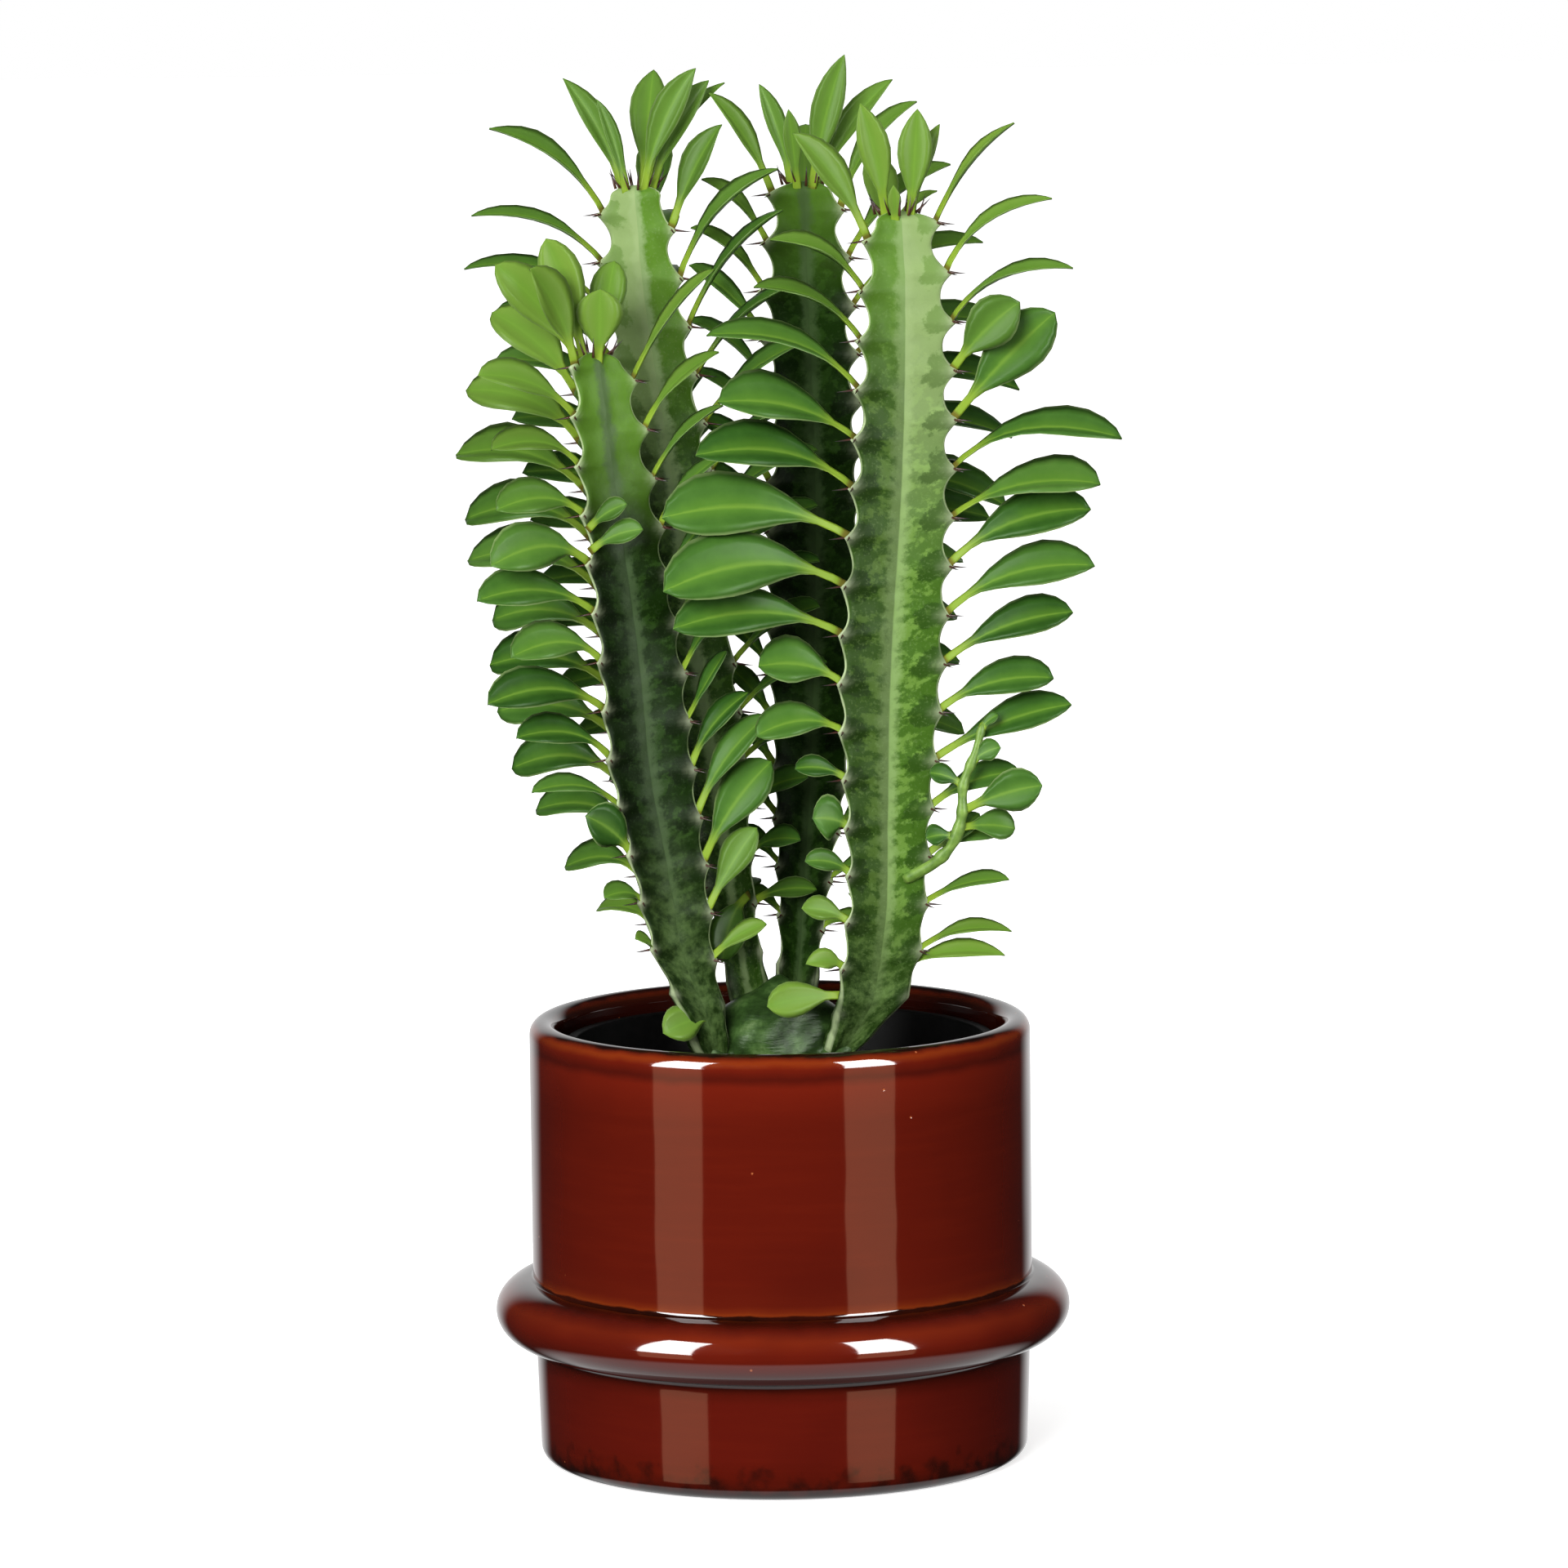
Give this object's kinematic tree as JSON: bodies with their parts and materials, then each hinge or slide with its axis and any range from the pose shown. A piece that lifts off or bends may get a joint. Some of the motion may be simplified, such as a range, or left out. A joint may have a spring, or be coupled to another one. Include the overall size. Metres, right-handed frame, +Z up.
{
  "type": "potted african milk tree",
  "caption": "Three-ridged leafy succulent with upright stems on a short trunk, standing in a black grow pot inside a glazed planter with a half-round ring",
  "frame": {"origin": "centre of the planter's flat underside, where the pot's axis meets the surface it stands on", "axes": "+Z up along the planter's axis; -Y is the front, the side the picture is taken from; +X is the picture's right"},
  "size_m": [0.1965, 0.1736, 0.4184],
  "materials": {
    "planter": "glossy oxblood glaze",
    "grow_pot": "satin black",
    "soil": "dark damp peat",
    "trunk": "dull blue-green skin",
    "stems": "semi-gloss leaves on marbled green stems"
  },
  "bodies": {
    "root": {"planter": "planter", "grow_pot": "grow_pot", "soil": "soil", "trunk": "trunk", "stem_front_right": "stems", "stem_front_left": "stems", "stem_back_left": "stems", "stem_back_right": "stems"}
  },
  "joints": []
}
